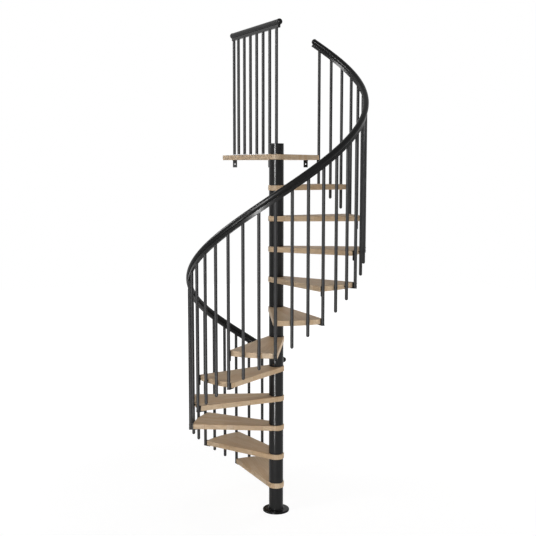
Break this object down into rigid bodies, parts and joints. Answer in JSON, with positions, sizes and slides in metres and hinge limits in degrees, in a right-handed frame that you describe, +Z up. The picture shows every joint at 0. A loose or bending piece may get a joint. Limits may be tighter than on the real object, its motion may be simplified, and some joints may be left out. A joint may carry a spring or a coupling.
{
  "type": "spiral staircase",
  "caption": "Spiral staircase with a tubular centre column, wooden wedge treads and landing, slim vertical balusters and a round helical handrail.",
  "frame": {"origin": "on the column's axis, at the underside of the base plate, which stands on the floor", "axes": "+Z up along the column; +Y from the column axis to the first baluster and to the floor slab the landing is fixed to; the flight climbs counter-clockwise seen from above"},
  "size_m": [1.3946, 1.4723, 3.825],
  "materials": {
    "tread_wood": "satin lacquer",
    "landing_wood": "satin lacquer",
    "column_paint": "satin powder coat",
    "cap_paint": "satin powder coat",
    "base_cover_paint": "satin powder coat",
    "plate_steel": "satin powder coat",
    "post_steel": "zinc plated",
    "baluster_paint": "satin powder coat",
    "bracket_paint": "satin powder coat",
    "strip_metal": "satin",
    "flat_bar_metal": "satin",
    "handrail_pvc": "semi-gloss",
    "end_cap_plastic": "semi-gloss"
  },
  "bodies": {
    "root": {"base_plate": "plate_steel", "base_cover": "base_cover_paint", "centre_post": "post_steel", "column_spacers": "column_paint", "column_cap": "cap_paint", "tread_01": "tread_wood", "tread_02": "tread_wood", "tread_03": "tread_wood", "tread_04": "tread_wood", "tread_05": "tread_wood", "tread_06": "tread_wood", "tread_07": "tread_wood", "tread_08": "tread_wood", "tread_09": "tread_wood", "tread_10": "tread_wood", "tread_11": "tread_wood", "landing": "landing_wood", "first_baluster": "baluster_paint", "first_foot": "bracket_paint", "balusters_01": "baluster_paint", "balusters_02": "baluster_paint", "balusters_03": "baluster_paint", "balusters_04": "baluster_paint", "balusters_05": "baluster_paint", "balusters_06": "baluster_paint", "balusters_07": "baluster_paint", "balusters_08": "baluster_paint", "balusters_09": "baluster_paint", "balusters_10": "baluster_paint", "balusters_11": "baluster_paint", "landing_balusters": "baluster_paint", "standoffs": "bracket_paint", "corner_brackets": "bracket_paint", "corner_lugs": "bracket_paint", "handrail": "handrail_pvc", "handrail_strip": "strip_metal", "handrail_caps": "end_cap_plastic", "landing_rail": "handrail_pvc", "landing_rail_strip": "strip_metal", "landing_rail_caps": "end_cap_plastic", "landing_flat_bar": "flat_bar_metal", "slab_brackets": "bracket_paint"}
  },
  "joints": []
}
